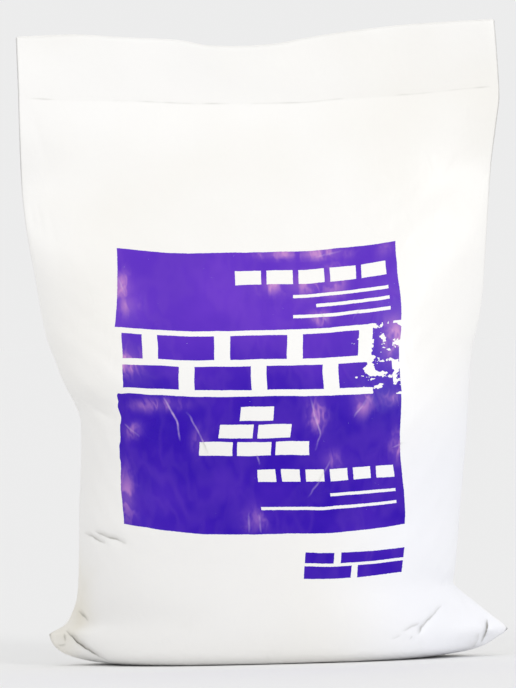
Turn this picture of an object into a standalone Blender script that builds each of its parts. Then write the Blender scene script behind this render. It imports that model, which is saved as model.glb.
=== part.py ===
"""A bag of cement: a film sack, welded at its foot and head, that stands on its filled base.

The sack is one blown tube of white polyethylene film, 320 mm wide and 490 mm long when it lies flat.
The cement in it has slumped, so the bag is thick and narrow below and flat and wide at the head weld.
Metres, +Z up, front towards -Y. The floor is at zero height.
"""

import bpy
import numpy as np

# The film, and the gap between it and the powder.
FILM = 0.00015
POWDER_GAP = 0.0003

# Half the thickness beside a side fold, low down and just under the head weld.
FOLD_EDGE = 0.0010
FOLD_EDGE_AT_HEAD = 0.0006

# The head weld is a band in which the two plies are one.
WELD_EDGE = 0.0002
WELD_LOW = 0.3715
WELD_HIGH = 0.3770

# The lip above it is two loose plies, which stand a little open and in slow waves.
LIP_HEIGHT = 0.040
LIP_LEVELS = (0.12, 0.40, 0.70, 1.00)
MOUTH_EDGE = 0.0012
LIP_WAVE = 0.0022
LIP_WAVE_LENGTH = 0.210
LIP_RIPPLE_LENGTH = 0.093

# Heights of the rings of points from the floor to just under the head weld, and the powder's top.
FOOT_RINGS = (0.0, 0.003, 0.007, 0.012, 0.0175, 0.0215, 0.027, 0.034, 0.041, 0.048, 0.058)
BODY_RINGS = (0.072, 0.090, 0.108, 0.126, 0.144, 0.160, 0.170, 0.180, 0.192, 0.206, 0.220, 0.236)
SHOULDER_RINGS = (0.254, 0.273, 0.292, 0.311, 0.329, 0.346, 0.358, 0.3665, 0.3703)
LEVELS = FOOT_RINGS + BODY_RINGS + SHOULDER_RINGS
FILL_LEVEL = 0.329

# Points from one side fold to the other, on each face of the bag.
HALF_RING = 28

# Needle vents through the back, above the powder, which let the air out of the filled sack.
VENT_REACH = 0.0006
VENT_LEVEL = 0.346
VENT_COLUMNS = (36, 42, 48)

# How far the outline reaches to the left of the origin, as (height, reach).
# The lowest reaches are the edge of the left ear, which is a corner of the foot weld.
LEFT_REACH = (
    (0.000, 0.105), (0.002, 0.120), (0.005, 0.132), (0.009, 0.1410), (0.015, 0.1465), (0.0205, 0.1483),
    (0.0235, 0.1430), (0.028, 0.1355), (0.037, 0.1313), (0.0485, 0.1283), (0.074, 0.1269),
    (0.106, 0.1260), (0.138, 0.1240), (0.162, 0.1234), (0.170, 0.1243), (0.178, 0.1285),
    (0.187, 0.1338), (0.207, 0.1410), (0.219, 0.1454), (0.235, 0.1483), (0.259, 0.1517),
    (0.283, 0.1558), (0.299, 0.1581), (0.320, 0.1597), (0.383, 0.1603), (0.421, 0.1611),
)

# The same to the right, where the ear is longer and the fold above it is sharper.
RIGHT_REACH = (
    (0.000, 0.107), (0.0015, 0.119), (0.003, 0.129), (0.006, 0.1400), (0.012, 0.1505), (0.0175, 0.1577),
    (0.024, 0.1508), (0.037, 0.1351), (0.044, 0.1266), (0.0495, 0.1217), (0.057, 0.1236),
    (0.071, 0.1252), (0.104, 0.1287), (0.144, 0.1330), (0.187, 0.1367), (0.204, 0.1385),
    (0.217, 0.1421), (0.237, 0.1460), (0.264, 0.1486), (0.292, 0.1513), (0.324, 0.1548),
    (0.348, 0.1587), (0.366, 0.1611), (0.400, 0.1599), (0.4245, 0.1585),
)

# Half the bag's thickness at its middle, as (height, half depth).
HALF_DEPTH = (
    (0.000, 0.0560), (0.003, 0.0605), (0.009, 0.0650), (0.020, 0.0680), (0.040, 0.0692), (0.070, 0.0692),
    (0.110, 0.0685), (0.150, 0.0665), (0.175, 0.0630), (0.200, 0.0565), (0.225, 0.0495),
    (0.250, 0.0430), (0.280, 0.0345), (0.310, 0.0255), (0.337, 0.0165), (0.356, 0.0090), (0.3715, 0.0),
)

# How a section thins towards its folds: 0.5 is close to an ellipse, and over 1 ends in a thin wing.
FALL_OFF = (
    (0.000, 0.60), (0.008, 0.95), (0.018, 1.15), (0.026, 1.05), (0.036, 0.75), (0.048, 0.55),
    (0.075, 0.47), (0.165, 0.47), (0.205, 0.53), (0.255, 0.66), (0.310, 0.88), (0.348, 1.10), (0.3715, 1.30),
)

# How square a section is: 2 is an ellipse.
SQUARENESS = ((0.000, 3.0), (0.020, 2.8), (0.060, 2.3), (0.100, 2.2))

# How far the middle plane leans back, as (height, lean).
LEAN = ((0.000, 0.000), (0.200, 0.000), (0.377, 0.005), (0.4245, 0.009))

# How far the head weld lies above its level, across the bag, and the height of the lip's top edge.
WELD_LIFT = (
    (-0.161, 0.0080), (-0.135, 0.0060), (-0.087, 0.0040), (-0.040, 0.0010), (0.025, 0.0), (0.057, 0.0020),
    (0.105, 0.0040), (0.137, 0.0065), (0.161, 0.0080),
)
LIFT_STARTS = 0.240
TOP_EDGE = (
    (-0.161, 0.4205), (-0.127, 0.4210), (-0.085, 0.4180), (-0.053, 0.4155), (-0.031, 0.4112),
    (-0.010, 0.4105), (0.011, 0.4115), (0.033, 0.4150), (0.065, 0.4190), (0.107, 0.4225), (0.161, 0.4245),
)

SMOOTH_BELOW = np.radians(40)
WHITE_FILM = (0.90, 0.90, 0.885, 1.0)
FILM_ROUGHNESS = 0.35
CEMENT_GREY = (0.36, 0.36, 0.345, 1.0)
CEMENT_ROUGHNESS = 0.95

AROUND = 2 * HALF_RING


def through(stations, at):
    """A smooth curve through (place, value) stations, which doesn't overshoot between them."""
    place, value = np.array(stations, float).T
    at = np.clip(at, place[0], place[-1])
    step = np.diff(place)
    slope = np.diff(value) / step
    turn = slope[:-1] * slope[1:]
    before = 2 * step[1:] + step[:-1]
    after = step[1:] + 2 * step[:-1]
    blend = np.where(turn > 0, before * slope[1:] + after * slope[:-1], 1.0)
    inner = np.where(turn > 0, (before + after) * turn / blend, 0.0)
    tangent = np.concatenate([slope[:1], inner, slope[-1:]])
    i = np.clip(np.searchsorted(place, at, side="right") - 1, 0, len(step) - 1)
    t = (at - place[i]) / step[i]
    return (
        value[i] * (1 + 2 * t) * (1 - t) ** 2
        + tangent[i] * step[i] * t * (1 - t) ** 2
        + value[i + 1] * t**2 * (3 - 2 * t)
        + tangent[i + 1] * step[i] * t**2 * (t - 1)
    )


def ease(value, low, high):
    """0 below low, 1 above high, and a smooth step between."""
    t = np.clip((value - low) / (high - low), 0, 1)
    return t * t * (3 - 2 * t)


def lip_wave(x, height):
    """How far the head of the bag swings to the back at this place."""
    swing = np.sin(2 * np.pi * x / LIP_WAVE_LENGTH) + 0.4 * np.sin(2 * np.pi * x / LIP_RIPPLE_LENGTH)
    return LIP_WAVE * swing * ease(height, WELD_HIGH, WELD_HIGH + LIP_HEIGHT)


def ring(height, edge):
    """One turn of the film: along the front from the left fold to the right one, and back behind."""
    across = -np.cos(np.pi * np.arange(HALF_RING + 1) / HALF_RING)
    left = through(LEFT_REACH, height)
    right = through(RIGHT_REACH, height)
    x = (right - left) / 2 + across * (right + left) / 2
    fullness = (1 - np.abs(across) ** through(SQUARENESS, height)) ** through(FALL_OFF, height)
    bulge = through(HALF_DEPTH, height) * fullness + edge
    bulge[[0, -1]] = 0.0
    middle = through(LEAN, height) + lip_wave(x, height)
    level = np.full(len(x), height)
    front = np.stack([x, middle - bulge, level], axis=1)
    back = np.stack([x, middle + bulge, level], axis=1)
    return np.concatenate([front, back[-2:0:-1]])


def with_head_lifted(points):
    """Raises the shoulder and the weld to the line that the head really follows."""
    lifted = points.copy()
    x, height = points[:, 0], points[:, 2]
    lifted[:, 2] += through(WELD_LIFT, x) * ease(height, LIFT_STARTS, WELD_LOW)
    return lifted


def body_rings():
    """Rings from the floor to just under the head weld."""
    rings = []
    for height in LEVELS:
        narrowing = ease(height, FILL_LEVEL, WELD_LOW)
        edge = FOLD_EDGE + (FOLD_EDGE_AT_HEAD - FOLD_EDGE) * narrowing
        rings.append(with_head_lifted(ring(height, edge)))
    return rings


def weld_rings():
    return [with_head_lifted(ring(height, WELD_EDGE)) for height in (WELD_LOW, WELD_HIGH)]


def lip_rings():
    """Rings of the two plies above the weld, up to the cut edge."""
    rings = []
    for share in LIP_LEVELS:
        points = ring(WELD_HIGH + share * LIP_HEIGHT, WELD_EDGE + (MOUTH_EDGE - WELD_EDGE) * share)
        foot = WELD_HIGH + through(WELD_LIFT, points[:, 0])
        points[:, 2] = foot + share * (through(TOP_EDGE, points[:, 0]) - foot)
        rings.append(points)
    return rings


def two_triangles(a, b, c, d):
    """A quad cut along its first diagonal. A corner named twice leaves one triangle."""
    return [t for t in ((a, b, c), (a, c, d)) if len(set(t)) == 3]


def around_next(k):
    return (k + 1) % AROUND


def band_quads(row):
    """The quads between one ring and the next, seen from outside."""
    low, high = row * AROUND, (row + 1) * AROUND
    return [(low + k, low + around_next(k), high + around_next(k), high + k) for k in range(AROUND)]


def tube(first_row, last_row):
    quads = [quad for row in range(first_row, last_row) for quad in band_quads(row)]
    return [t for quad in quads for t in two_triangles(*quad)]


def lid(row):
    """Closes a ring from front to back, facing up."""
    base = row * AROUND
    made = []
    for k in range(HALF_RING):
        made += two_triangles(base + k, base + k + 1, base + AROUND - k - 1, base + (AROUND - k) % AROUND)
    return made


def turned(triangles):
    return [(c, b, a) for a, b, c in triangles]


def moved_up(triangles, count):
    """The same triangles for points that start later in the list."""
    return [(a + count, b + count, c + count) for a, b, c in triangles]


def drawn_in(points, triangles, distance):
    """The points moved inwards so that every triangle at a point moves by the distance."""
    corner = points[np.array(triangles)]
    normal = np.cross(corner[:, 1] - corner[:, 0], corner[:, 2] - corner[:, 0])
    normal /= np.linalg.norm(normal, axis=1)[:, None]
    total = np.zeros((len(points), 3))
    spread = np.tile(np.eye(3) * 1e-3, (len(points), 1, 1))
    for which in np.array(triangles).T:
        np.add.at(total, which, normal)
        np.add.at(spread, which, normal[:, :, None] * normal[:, None, :])
    return points - distance * np.linalg.solve(spread, total[:, :, None])[:, :, 0]


def closed_body(rings):
    """Triangles of the bag's body, with its base and a lid at its last ring."""
    last = len(rings) - 1
    return tube(0, last) + turned(lid(0)) + lid(last)


def pierced(points, triangles, quad):
    """Cuts a small square mouth in the middle of a quad. Returns points, triangles and the mouth."""
    corners = points[list(quad)]
    centre = corners.mean(axis=0)
    spoke = corners - centre
    spoke /= np.linalg.norm(spoke, axis=1)[:, None]
    mouth = [len(points) + k for k in range(4)]
    points = np.concatenate([points, centre + spoke * VENT_REACH])
    gone = set(two_triangles(*quad))
    triangles = [t for t in triangles if t not in gone]
    for k in range(4):
        n = (k + 1) % 4
        triangles += two_triangles(quad[k], quad[n], mouth[n], mouth[k])
    return points, triangles, mouth


def film_surface(rings_of_body):
    """Points and triangles of the film: its outside, the hollow for the powder and the open mouth."""
    welds, lips = weld_rings(), lip_rings()
    lip_first = len(rings_of_body) + len(welds)
    top = lip_first + len(lips) - 1

    outside = np.concatenate(rings_of_body + welds + lips)
    skin = tube(0, top) + turned(lid(0))
    inside_lip = drawn_in(outside, skin, FILM)[lip_first * AROUND :]
    inside_lip[-AROUND:, 2] = outside[-AROUND:, 2]
    hollow = drawn_in(np.concatenate(rings_of_body), closed_body(rings_of_body), FILM)
    hollow_skin = closed_body(rings_of_body)

    vent_row = LEVELS.index(VENT_LEVEL)
    outer_mouths, inner_mouths = [], []
    for column in VENT_COLUMNS:
        quad = band_quads(vent_row)[column]
        outside, skin, mouth = pierced(outside, skin, quad)
        outer_mouths.append(mouth)
        hollow, hollow_skin, mouth = pierced(hollow, hollow_skin, quad)
        inner_mouths.append(mouth)

    hollow_at = len(outside)
    lip_at = hollow_at + len(hollow)
    triangles = skin + moved_up(turned(hollow_skin), hollow_at)
    triangles += moved_up(turned(tube(0, len(lips) - 1)) + lid(0), lip_at)
    rim_outer, rim_inner = top * AROUND, lip_at + (len(lips) - 1) * AROUND
    for k in range(AROUND):
        n = around_next(k)
        triangles += two_triangles(rim_outer + k, rim_outer + n, rim_inner + n, rim_inner + k)
    for outer, inner in zip(outer_mouths, inner_mouths):
        for k in range(4):
            n = (k + 1) % 4
            triangles += two_triangles(outer[k], outer[n], hollow_at + inner[n], hollow_at + inner[k])
    return np.concatenate([outside, hollow, inside_lip]), triangles


def fill_surface(rings_of_body):
    """Points and triangles of the powder, which follows the film up to the fill level."""
    filled = rings_of_body[: LEVELS.index(FILL_LEVEL) + 1]
    triangles = closed_body(filled)
    return drawn_in(np.concatenate(filled), triangles, FILM + POWDER_GAP), triangles


def material(name, colour, roughness):
    made = bpy.data.materials.new(name)
    made.use_nodes = True
    shader = made.node_tree.nodes["Principled BSDF"]
    shader.inputs["Base Color"].default_value = colour
    shader.inputs["Roughness"].default_value = roughness
    shader.inputs["Metallic"].default_value = 0.0
    return made


def add_object(name, points, triangles, finish):
    data = bpy.data.meshes.new(name)
    data.from_pydata(points.tolist(), [], triangles)
    data.update()
    data.shade_smooth()
    data.set_sharp_from_angle(angle=SMOOTH_BELOW)
    data.materials.append(finish)
    made = bpy.data.objects.new(name, data)
    bpy.context.scene.collection.objects.link(made)
    return made


def clear_scene():
    for obj in list(bpy.data.objects):
        bpy.data.objects.remove(obj)


clear_scene()
body = body_rings()
film_points, film_triangles = film_surface(body)
fill_points, fill_triangles = fill_surface(body)

# The origin is on the floor, in the middle of the bag's width and depth.
lowest, highest = film_points.min(axis=0), film_points.max(axis=0)
origin = np.array([(lowest[0] + highest[0]) / 2, (lowest[1] + highest[1]) / 2, lowest[2]])

add_object("film_sack", film_points - origin, film_triangles, material("white_film", WHITE_FILM, FILM_ROUGHNESS))
add_object("cement_fill", fill_points - origin, fill_triangles, material("cement", CEMENT_GREY, CEMENT_ROUGHNESS))
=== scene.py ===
import copy
import functools
import math

import bmesh
import bpy
import numpy as np
from mathutils import Matrix, Vector


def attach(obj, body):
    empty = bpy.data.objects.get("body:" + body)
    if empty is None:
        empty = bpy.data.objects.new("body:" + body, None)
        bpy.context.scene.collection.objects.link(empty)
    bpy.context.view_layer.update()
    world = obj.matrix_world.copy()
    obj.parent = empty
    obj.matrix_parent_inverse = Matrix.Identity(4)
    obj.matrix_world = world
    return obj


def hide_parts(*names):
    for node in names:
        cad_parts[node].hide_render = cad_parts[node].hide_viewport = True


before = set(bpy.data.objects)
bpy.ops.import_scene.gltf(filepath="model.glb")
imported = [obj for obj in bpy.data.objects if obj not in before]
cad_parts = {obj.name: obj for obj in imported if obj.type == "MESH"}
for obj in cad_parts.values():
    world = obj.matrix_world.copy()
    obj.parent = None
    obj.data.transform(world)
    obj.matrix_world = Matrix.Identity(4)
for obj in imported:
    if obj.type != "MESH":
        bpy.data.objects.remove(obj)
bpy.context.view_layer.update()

# Sizes are in metres where nothing else is said.
# The sack as it lies flat: half its width, its length up to the head weld, the weld and the lip.
HALF_FLAT = 0.160
FLAT_BODY = 0.444
FLAT_WELD = 0.0055
FLAT_LIP = 0.042

# The coarse mesh on which the film settles: cells across each face, and up each part of the sack.
COLUMNS = 80
BODY_ROWS = 111
WELD_ROWS = 2
LIP_ROWS = 11
AROUND = 2 * COLUMNS

# The fine mesh's cells, as (up to, size): smaller where the film is creased.
FINE_ROWS = ((0.050, 0.0030), (0.125, 0.0014), (0.188, 0.0028), (0.250, 0.0015), (FLAT_BODY, 0.0028))
FINE_COLUMNS = ((-0.086, 0.0014), (0.086, 0.0028), (HALF_FLAT, 0.0014))
FINE_WELD = 4
FINE_LIP = 16

# The outline from the front, as (height, reach to that side), the same as in the solids.
LEFT_REACH = (
    (0.000, 0.105), (0.002, 0.120), (0.005, 0.132), (0.009, 0.1410), (0.015, 0.1465), (0.0205, 0.1483),
    (0.0235, 0.1430), (0.028, 0.1355), (0.037, 0.1313), (0.0485, 0.1283), (0.074, 0.1269),
    (0.106, 0.1260), (0.138, 0.1240), (0.162, 0.1234), (0.170, 0.1243), (0.178, 0.1285),
    (0.187, 0.1338), (0.207, 0.1410), (0.219, 0.1454), (0.235, 0.1483), (0.259, 0.1517),
    (0.283, 0.1558), (0.299, 0.1581), (0.320, 0.1597), (0.383, 0.1603), (0.421, 0.1611),
)
RIGHT_REACH = (
    (0.000, 0.107), (0.0015, 0.119), (0.003, 0.129), (0.006, 0.1400), (0.012, 0.1505), (0.0175, 0.1577),
    (0.024, 0.1508), (0.037, 0.1351), (0.044, 0.1266), (0.0495, 0.1217), (0.057, 0.1236),
    (0.071, 0.1252), (0.104, 0.1287), (0.144, 0.1330), (0.187, 0.1367), (0.204, 0.1385),
    (0.217, 0.1421), (0.237, 0.1460), (0.264, 0.1486), (0.292, 0.1513), (0.324, 0.1548),
    (0.348, 0.1587), (0.366, 0.1611), (0.400, 0.1599), (0.4245, 0.1585),
)
LEFT_EAR_TIP = 0.0205
RIGHT_EAR_TIP = 0.0175

# Half the thickness in the middle, and how the thickness falls off towards the folds, at each height.
HALF_DEPTH = (
    (0.000, 0.0560), (0.003, 0.0605), (0.009, 0.0650), (0.020, 0.0680), (0.040, 0.0692), (0.070, 0.0692),
    (0.110, 0.0685), (0.150, 0.0665), (0.175, 0.0630), (0.200, 0.0565), (0.225, 0.0495),
    (0.250, 0.0430), (0.280, 0.0345), (0.310, 0.0255), (0.337, 0.0165), (0.356, 0.0090), (0.3715, 0.0),
)
FALL_OFF = (
    (0.000, 0.60), (0.008, 0.95), (0.018, 1.15), (0.026, 1.05), (0.036, 0.75), (0.048, 0.55),
    (0.075, 0.47), (0.165, 0.47), (0.205, 0.53), (0.255, 0.66), (0.310, 0.88), (0.348, 1.10), (0.3715, 1.30),
)
SQUARENESS = ((0.000, 3.0), (0.020, 2.8), (0.060, 2.3), (0.100, 2.2))
LEAN = ((0.000, 0.000), (0.200, 0.000), (0.377, 0.005), (0.4245, 0.009))

# The head weld's heights, how the weld and the lip's cut edge rise towards the sides, and the powder's top.
WELD_LOW = 0.3715
WELD_HIGH = 0.3770
LIP_HEIGHT = 0.040
LIFT_STARTS = 0.240
WELD_LIFT = (
    (-0.161, 0.0080), (-0.135, 0.0060), (-0.087, 0.0040), (-0.040, 0.0010), (0.025, 0.0), (0.057, 0.0020),
    (0.105, 0.0040), (0.137, 0.0065), (0.161, 0.0080),
)
TOP_EDGE = (
    (-0.161, 0.4205), (-0.127, 0.4210), (-0.085, 0.4180), (-0.053, 0.4155), (-0.031, 0.4112),
    (-0.010, 0.4105), (0.011, 0.4115), (0.033, 0.4150), (0.065, 0.4190), (0.107, 0.4225), (0.161, 0.4245),
)
FILL_LEVEL = 0.329

# How the side folds, the ears and the lip swing to the front and the back: how far, the waves' lengths, how
# far out they are at their full, and over which heights they fade.
FOLD_SWING = 0.0050
FOLD_WAVES = (0.096, 0.118)
FOLD_REACH = 0.150
FOLD_HEIGHTS = ((0.045, 0.100), (0.300, 0.370))
EAR_SWINGS = (0.006, 0.005)
EAR_REACHES = (0.14, 0.15)
EAR_HEIGHTS = (0.020, 0.060)
LIP_SWING = 0.0022
LIP_WAVES = (0.210, 0.093)

# Where the photograph was taken from, which tells where its measurements lie on the bag.
CAMERA_DISTANCE = 5.0
CAMERA_ELEVATION = math.radians(0.2)
CAMERA_ROLL = math.radians(-1.4)
CAMERA_AIM = (-0.0041, 0.0, 0.2110)
FRAME_HEIGHT = 0.459


def through(stations, at):
    """A smooth curve through (place, value) stations, which doesn't overshoot between them."""
    place, value = np.array(stations, float).T
    at = np.clip(at, place[0], place[-1])
    step = np.diff(place)
    slope = np.diff(value) / step
    turn = slope[:-1] * slope[1:]
    before = 2 * step[1:] + step[:-1]
    after = step[1:] + 2 * step[:-1]
    blend = np.where(turn > 0, before * slope[1:] + after * slope[:-1], 1.0)
    inner = np.where(turn > 0, (before + after) * turn / blend, 0.0)
    tangent = np.concatenate([slope[:1], inner, slope[-1:]])
    i = np.clip(np.searchsorted(place, at, side="right") - 1, 0, len(step) - 1)
    t = (at - place[i]) / step[i]
    return (
        value[i] * (1 + 2 * t) * (1 - t) ** 2
        + tangent[i] * step[i] * t * (1 - t) ** 2
        + value[i + 1] * t**2 * (3 - 2 * t)
        + tangent[i + 1] * step[i] * t**2 * (t - 1)
    )


def ease(value, low, high):
    """0 below low, 1 above high, and a smooth step between."""
    t = np.clip((value - low) / (high - low), 0, 1)
    return t * t * (3 - 2 * t)


def within(value, rise, fall):
    """1 between two smooth steps, 0 outside them."""
    return ease(value, *rise) * (1 - ease(value, *fall))


def outline_at(z, narrower=0.0):
    """The middle of the outline and half its width at a height."""
    left, right = through(LEFT_REACH, z) - narrower, through(RIGHT_REACH, z) - narrower
    return (right - left) / 2, (right + left) / 2


def half_thickness(x, z, narrower=0.0):
    """Half the bag's thickness where a line from front to back passes through (x, z)."""
    middle, reach = outline_at(z, narrower)
    across = np.clip((x - middle) / reach, -1, 1)
    fullness = (1 - np.abs(across) ** through(SQUARENESS, z)) ** through(FALL_OFF, z)
    return through(HALF_DEPTH, z) * fullness


def side_wander(x, z):
    """How far the slack side folds and the ears swing to the front or the back."""
    left = np.clip(-x / FOLD_REACH, 0, 1.1) ** 3 * np.sin(2 * np.pi * (z - 0.020) / FOLD_WAVES[0] + 0.6)
    right = np.clip(x / FOLD_REACH, 0, 1.1) ** 3 * np.sin(2 * np.pi * (z + 0.012) / FOLD_WAVES[1] + 2.2)
    left_ear = EAR_SWINGS[0] * np.clip(-x / EAR_REACHES[0], 0, 1) ** 6
    right_ear = EAR_SWINGS[1] * np.clip(x / EAR_REACHES[1], 0, 1) ** 6
    ears = (left_ear - right_ear) * (1 - ease(z, *EAR_HEIGHTS))
    return FOLD_SWING * (left + right) * within(z, *FOLD_HEIGHTS) + ears


def middle_plane(x, z):
    """How far back the middle of the bag lies: it leans a little, and the lip waves."""
    lip_wave = np.sin(2 * np.pi * x / LIP_WAVES[0]) + 0.4 * np.sin(2 * np.pi * x / LIP_WAVES[1])
    lip_share = ease(z, WELD_HIGH, WELD_HIGH + LIP_HEIGHT)
    return through(LEAN, z) + side_wander(x, z) + LIP_SWING * lip_wave * lip_share


def head_lift(x, z):
    return through(WELD_LIFT, x) * ease(z, LIFT_STARTS, WELD_LOW)


def lengths_along(points):
    """Distance travelled along each line of points, which run along the first axis."""
    steps = np.linalg.norm(np.diff(points, axis=0), axis=-1)
    return np.concatenate([np.zeros((1,) + steps.shape[1:]), np.cumsum(steps, axis=0)])


def foot_line(u):
    """Where the foot weld lies in the outline: down one ear, along the floor and up the other ear."""
    down = np.linspace(LEFT_EAR_TIP, 0, 60)
    up = np.linspace(0, RIGHT_EAR_TIP, 60)
    x = np.concatenate([-through(LEFT_REACH, down), through(RIGHT_REACH, up)])
    z = np.concatenate([down, up])
    along = lengths_along(np.stack([x, z], axis=1))
    along = (along / along[-1] * 2 - 1) * HALF_FLAT
    return np.interp(u, along, x), np.interp(u, along, z)


# The heights at which the front face is worked out, closer together near the floor.
NEAR_FLOOR = 0.03
LEVELS = np.concatenate([np.linspace(0, NEAR_FLOOR, 61)[:-1], np.linspace(NEAR_FLOOR, WELD_LOW, 260)])


def level_sections(u):
    """The front face at each level, with its points where the sheet's own columns cross it."""
    across = -np.cos(np.linspace(0, np.pi, 400))
    every_u = np.linspace(-HALF_FLAT, HALF_FLAT, 2001)
    every_z = foot_line(every_u)[1]
    section = np.zeros((len(LEVELS), len(u), 3))
    for row, z in enumerate(LEVELS):
        middle, reach = outline_at(z)
        x = middle + across * reach
        y = middle_plane(x, z) - half_thickness(x, z)
        girth = lengths_along(np.stack([x, y], axis=1))
        above_foot = every_u[every_z <= z + 1e-9]
        first = above_foot[0] if z < LEFT_EAR_TIP else -HALF_FLAT
        last = above_foot[-1] if z < RIGHT_EAR_TIP else HALF_FLAT
        share = np.clip((u - first) / (last - first), 0, 1) * girth[-1]
        section[row, :, 0] = np.interp(share, girth, x)
        section[row, :, 1] = np.interp(share, girth, y)
        section[row, :, 2] = z
    return section


def laid_front():
    """The front face as the outline and the depths give it: rows of points from foot weld to head weld."""
    u = np.linspace(-HALF_FLAT, HALF_FLAT, COLUMNS + 1)
    foot_x, foot_z = foot_line(u)
    section = level_sections(u)
    face = np.zeros((BODY_ROWS + 1, len(u), 3))
    lengths = np.zeros(len(u))
    for column, (x, z) in enumerate(zip(foot_x, foot_z)):
        start = np.array([[x, middle_plane(x, z), z]])
        on_floor = section[: 1 if z < 1e-6 else 0, column]
        path = np.concatenate([start, on_floor, section[LEVELS > z + 1e-6, column]])
        path[:, 2] += head_lift(path[:, 0], path[:, 2])
        along = lengths_along(path)
        lengths[column] = along[-1]
        at = np.linspace(0, along[-1], BODY_ROWS + 1)
        face[:, column] = np.stack([np.interp(at, along, path[:, axis]) for axis in range(3)], axis=1)
    return face, lengths


def mirrored(front):
    back = front.copy()
    back[..., 1] = 2 * middle_plane(front[..., 0], front[..., 2]) - front[..., 1]
    return back


def ring_of(front, back):
    """Joins the two faces into rings: the front from left to right, then the back from right to left."""
    return np.concatenate([front, back[:, -2:0:-1]], axis=1)


def faces_of(rings):
    """The front and back faces of the rings, which share the side folds."""
    back = np.concatenate([rings[:, :1], rings[:, : COLUMNS - 1 : -1]], axis=1)
    return rings[:, : COLUMNS + 1], back


class PowderTable:
    """The room the powder and the trapped air take, tabled over the outline so that it is read quickly."""

    PITCH = 0.001
    AIR_SHARE = 0.80

    def __init__(self):
        self.x = np.arange(-0.175, 0.176, self.PITCH)
        self.z = np.arange(0.0, 0.440, self.PITCH)
        x, z = np.meshgrid(self.x, self.z)
        room = half_thickness(x.ravel(), z.ravel()).reshape(x.shape)
        self.half = room * (1 - (1 - self.AIR_SHARE) * ease(z, FILL_LEVEL - 0.02, FILL_LEVEL + 0.02))
        self.middle = middle_plane(x.ravel(), z.ravel()).reshape(x.shape)

    def read(self, table, x, z):
        i = np.clip((x - self.x[0]) / self.PITCH, 0, len(self.x) - 1.001)
        j = np.clip((z - self.z[0]) / self.PITCH, 0, len(self.z) - 1.001)
        i0, j0 = i.astype(int), j.astype(int)
        s, t = i - i0, j - j0
        low = table[j0, i0] * (1 - s) + table[j0, i0 + 1] * s
        high = table[j0 + 1, i0] * (1 - s) + table[j0 + 1, i0 + 1] * s
        return low * (1 - t) + high * t


def pull(points, free, a, b, rest, stiffness, only_push=False):
    """Moves pairs of points so that their distance comes closer to the rest length."""
    gap = points[b] - points[a]
    length = np.linalg.norm(gap, axis=-1) + 1e-12
    wrong = (length - rest) / length
    if only_push:
        wrong = np.minimum(wrong, 0)
    move = gap * (stiffness * wrong / np.maximum(free[a] + free[b], 1e-9))[..., None]
    points[a] += move * free[a][..., None]
    points[b] -= move * free[b][..., None]


def first_wrinkles(u, v, random):
    """Short trains of low waves near the side folds, from which the slack film buckles."""
    waves = np.zeros(np.broadcast(u, v).shape)
    for _ in range(90):
        side = random.choice([-1.0, 1.0])
        u0 = side * HALF_FLAT * random.uniform(0.55, 1.0)
        v0 = random.uniform(0.06, FLAT_BODY)
        tilt = side * random.normal(0.35, 0.45)
        length = random.uniform(0.018, 0.046)
        reach, width = random.uniform(0.018, 0.050), random.uniform(0.012, 0.030)
        run = (u - u0) * math.cos(tilt) + (v - v0) * math.sin(tilt)
        rise = -(u - u0) * math.sin(tilt) + (v - v0) * math.cos(tilt)
        patch = np.exp(-((run / reach) ** 2) - (rise / width) ** 2)
        strength = random.uniform(0.4, 1.0)
        waves += strength * patch * np.sin(2 * np.pi * rise / length + random.uniform(0, 6.28))
    return waves


# How the film settles: the rounds, the share of its slack that it keeps, its first waves' size and heights,
# how stiff it is along its rows and columns and otherwise, and how nearly straight it stays over two cells.
RELAX_ROUNDS = 240
SLACK_KEPT = 0.05
FIRST_WAVES = 0.0011
WAVE_HEIGHTS = ((0.05, 0.10), (0.40, 0.44))
STIFF = 0.9
SOFT = 0.3
STRAIGHT_UP = 1.985
STRAIGHT_ACROSS = 1.97

# How far inside the powder the film may lie, how far from the middle plane it stays at least, and how many
# rows from the foot may be pushed down to the floor.
GIVE = 0.0008
APART = 0.0003
FLOOR_ROWS = 20

# How much of the wrinkling is pulled flat again on each face: the front is almost smooth.
FRONT_TAUT = 0.93
BACK_TAUT = 0.45


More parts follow.
